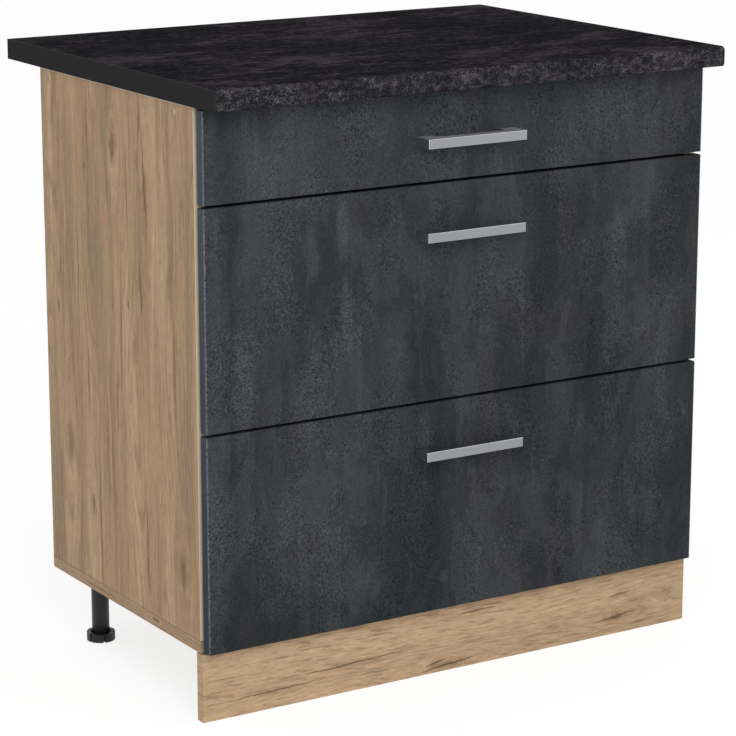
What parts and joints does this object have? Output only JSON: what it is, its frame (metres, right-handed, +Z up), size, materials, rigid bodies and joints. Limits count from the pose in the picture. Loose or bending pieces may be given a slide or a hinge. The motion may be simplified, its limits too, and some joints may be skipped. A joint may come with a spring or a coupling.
{
  "type": "base cabinet with drawers",
  "caption": "Free-standing kitchen base cabinet with roller-guided drawers under a laminate worktop, on adjustable feet behind a clip-on plinth board.",
  "frame": {"origin": "on the floor, under the middle of the worktop", "axes": "+X to the right seen from the front, +Y from the fronts to the back, +Z up; the drawers open towards -Y"},
  "size_m": [0.806, 0.6, 0.848],
  "materials": {
    "oak_board": "oak-look melamine, vertical grain, matt",
    "oak_plinth": "oak-look melamine, horizontal grain, matt",
    "slate_front": "dark slate-look laminate on board, matt, mottled",
    "worktop_laminate": "near-black stone-look laminate on board, satin",
    "end_strip": "plain dark edging",
    "hardboard": "brown hardboard, smooth side in",
    "white_board": "white melamine board",
    "pale_steel": "light grey powder-coated folded steel",
    "satin_metal": "satin nickel look",
    "black_plastic": "moulded black plastic, half matt",
    "white_plastic": "off-white moulded rollers"
  },
  "bodies": {
    "cabinet": {"side_panel_left": "oak_board", "side_panel_right": "oak_board", "bottom_panel": "oak_board", "back_panel": "hardboard", "top_rail_front": "oak_board", "top_rail_rear": "oak_board", "worktop": "worktop_laminate", "worktop_end_strip_left": "end_strip", "worktop_end_strip_right": "end_strip", "plinth": "oak_plinth", "plinth_clip_left": "black_plastic", "plinth_clip_right": "black_plastic", "foot_socket_front_left": "black_plastic", "foot_socket_front_right": "black_plastic", "foot_socket_rear_left": "black_plastic", "foot_socket_rear_right": "black_plastic", "cabinet_runner_bottom_left": "pale_steel", "cabinet_runner_bottom_right": "pale_steel", "cabinet_runner_middle_left": "pale_steel", "cabinet_runner_middle_right": "pale_steel", "cabinet_runner_top_left": "pale_steel", "cabinet_runner_top_right": "pale_steel"},
    "drawer_bottom": {"drawer_front_bottom": "slate_front", "handle_bottom": "satin_metal", "drawer_base_bottom": "white_board", "drawer_back_bottom": "white_board", "drawer_side_bottom_left": "pale_steel", "drawer_side_bottom_right": "pale_steel"},
    "drawer_middle": {"drawer_front_middle": "slate_front", "handle_middle": "satin_metal", "drawer_base_middle": "white_board", "drawer_back_middle": "white_board", "drawer_side_middle_left": "pale_steel", "drawer_side_middle_right": "pale_steel"},
    "drawer_top": {"drawer_front_top": "slate_front", "handle_top": "satin_metal", "drawer_base_top": "white_board", "drawer_back_top": "white_board", "drawer_side_top_left": "pale_steel", "drawer_side_top_right": "pale_steel"},
    "cabinet_roller_bottom_left": {"cabinet_roller_bottom_left": "white_plastic"},
    "cabinet_roller_bottom_right": {"cabinet_roller_bottom_right": "white_plastic"},
    "drawer_roller_bottom_left": {"drawer_roller_bottom_left": "white_plastic"},
    "drawer_roller_bottom_right": {"drawer_roller_bottom_right": "white_plastic"},
    "cabinet_roller_middle_left": {"cabinet_roller_middle_left": "white_plastic"},
    "cabinet_roller_middle_right": {"cabinet_roller_middle_right": "white_plastic"},
    "drawer_roller_middle_left": {"drawer_roller_middle_left": "white_plastic"},
    "drawer_roller_middle_right": {"drawer_roller_middle_right": "white_plastic"},
    "cabinet_roller_top_left": {"cabinet_roller_top_left": "white_plastic"},
    "cabinet_roller_top_right": {"cabinet_roller_top_right": "white_plastic"},
    "drawer_roller_top_left": {"drawer_roller_top_left": "white_plastic"},
    "drawer_roller_top_right": {"drawer_roller_top_right": "white_plastic"},
    "adjusting_foot_front_left": {"adjusting_foot_front_left": "black_plastic"},
    "adjusting_foot_front_right": {"adjusting_foot_front_right": "black_plastic"},
    "adjusting_foot_rear_left": {"adjusting_foot_rear_left": "black_plastic"},
    "adjusting_foot_rear_right": {"adjusting_foot_rear_right": "black_plastic"}
  },
  "joints": [
    {"name": "drawer_bottom_slide", "type": "slide", "parent": "cabinet", "child": "drawer_bottom", "axis": [0, -1, 0], "range_m": [0, 0.3]},
    {"name": "drawer_middle_slide", "type": "slide", "parent": "cabinet", "child": "drawer_middle", "axis": [0, -1, 0], "range_m": [0, 0.3]},
    {"name": "drawer_top_slide", "type": "slide", "parent": "cabinet", "child": "drawer_top", "axis": [0, -1, 0], "range_m": [0, 0.3]},
    {"name": "cabinet_roller_bottom_left_spin", "type": "hinge", "parent": "cabinet", "child": "cabinet_roller_bottom_left", "pos_m": [-0.3785, -0.223, 0.1399], "axis": [1, 0, 0], "range_deg": [0, 1440]},
    {"name": "cabinet_roller_bottom_right_spin", "type": "hinge", "parent": "cabinet", "child": "cabinet_roller_bottom_right", "pos_m": [0.3785, -0.223, 0.1399], "axis": [1, 0, 0], "range_deg": [0, 1440]},
    {"name": "drawer_roller_bottom_left_spin", "type": "hinge", "parent": "drawer_bottom", "child": "drawer_roller_bottom_left", "pos_m": [-0.3785, 0.141, 0.1355], "axis": [1, 0, 0], "range_deg": [0, 1440]},
    {"name": "drawer_roller_bottom_right_spin", "type": "hinge", "parent": "drawer_bottom", "child": "drawer_roller_bottom_right", "pos_m": [0.3785, 0.141, 0.1355], "axis": [1, 0, 0], "range_deg": [0, 1440]},
    {"name": "cabinet_roller_middle_left_spin", "type": "hinge", "parent": "cabinet", "child": "cabinet_roller_middle_left", "pos_m": [-0.3785, -0.223, 0.4389], "axis": [1, 0, 0], "range_deg": [0, 1440]},
    {"name": "cabinet_roller_middle_right_spin", "type": "hinge", "parent": "cabinet", "child": "cabinet_roller_middle_right", "pos_m": [0.3785, -0.223, 0.4389], "axis": [1, 0, 0], "range_deg": [0, 1440]},
    {"name": "drawer_roller_middle_left_spin", "type": "hinge", "parent": "drawer_middle", "child": "drawer_roller_middle_left", "pos_m": [-0.3785, 0.141, 0.4345], "axis": [1, 0, 0], "range_deg": [0, 1440]},
    {"name": "drawer_roller_middle_right_spin", "type": "hinge", "parent": "drawer_middle", "child": "drawer_roller_middle_right", "pos_m": [0.3785, 0.141, 0.4345], "axis": [1, 0, 0], "range_deg": [0, 1440]},
    {"name": "cabinet_roller_top_left_spin", "type": "hinge", "parent": "cabinet", "child": "cabinet_roller_top_left", "pos_m": [-0.3785, -0.223, 0.7259], "axis": [1, 0, 0], "range_deg": [0, 1440]},
    {"name": "cabinet_roller_top_right_spin", "type": "hinge", "parent": "cabinet", "child": "cabinet_roller_top_right", "pos_m": [0.3785, -0.223, 0.7259], "axis": [1, 0, 0], "range_deg": [0, 1440]},
    {"name": "drawer_roller_top_left_spin", "type": "hinge", "parent": "drawer_top", "child": "drawer_roller_top_left", "pos_m": [-0.3785, 0.141, 0.7215], "axis": [1, 0, 0], "range_deg": [0, 1440]},
    {"name": "drawer_roller_top_right_spin", "type": "hinge", "parent": "drawer_top", "child": "drawer_roller_top_right", "pos_m": [0.3785, 0.141, 0.7215], "axis": [1, 0, 0], "range_deg": [0, 1440]},
    {"name": "adjusting_foot_front_left_height", "type": "slide", "parent": "cabinet", "child": "adjusting_foot_front_left", "axis": [0, 0, -1], "range_m": [0, 0.025]},
    {"name": "adjusting_foot_front_right_height", "type": "slide", "parent": "cabinet", "child": "adjusting_foot_front_right", "axis": [0, 0, -1], "range_m": [0, 0.025]},
    {"name": "adjusting_foot_rear_left_height", "type": "slide", "parent": "cabinet", "child": "adjusting_foot_rear_left", "axis": [0, 0, -1], "range_m": [0, 0.025]},
    {"name": "adjusting_foot_rear_right_height", "type": "slide", "parent": "cabinet", "child": "adjusting_foot_rear_right", "axis": [0, 0, -1], "range_m": [0, 0.025]}
  ],
  "couplings": [
    {"joint": "cabinet_roller_bottom_left_spin", "follows": "drawer_bottom_slide", "rad_per_m": 83.333},
    {"joint": "cabinet_roller_bottom_right_spin", "follows": "drawer_bottom_slide", "rad_per_m": 83.333},
    {"joint": "drawer_roller_bottom_left_spin", "follows": "drawer_bottom_slide", "rad_per_m": 83.333},
    {"joint": "drawer_roller_bottom_right_spin", "follows": "drawer_bottom_slide", "rad_per_m": 83.333},
    {"joint": "cabinet_roller_middle_left_spin", "follows": "drawer_middle_slide", "rad_per_m": 83.333},
    {"joint": "cabinet_roller_middle_right_spin", "follows": "drawer_middle_slide", "rad_per_m": 83.333},
    {"joint": "drawer_roller_middle_left_spin", "follows": "drawer_middle_slide", "rad_per_m": 83.333},
    {"joint": "drawer_roller_middle_right_spin", "follows": "drawer_middle_slide", "rad_per_m": 83.333},
    {"joint": "cabinet_roller_top_left_spin", "follows": "drawer_top_slide", "rad_per_m": 83.333},
    {"joint": "cabinet_roller_top_right_spin", "follows": "drawer_top_slide", "rad_per_m": 83.333},
    {"joint": "drawer_roller_top_left_spin", "follows": "drawer_top_slide", "rad_per_m": 83.333},
    {"joint": "drawer_roller_top_right_spin", "follows": "drawer_top_slide", "rad_per_m": 83.333}
  ]
}
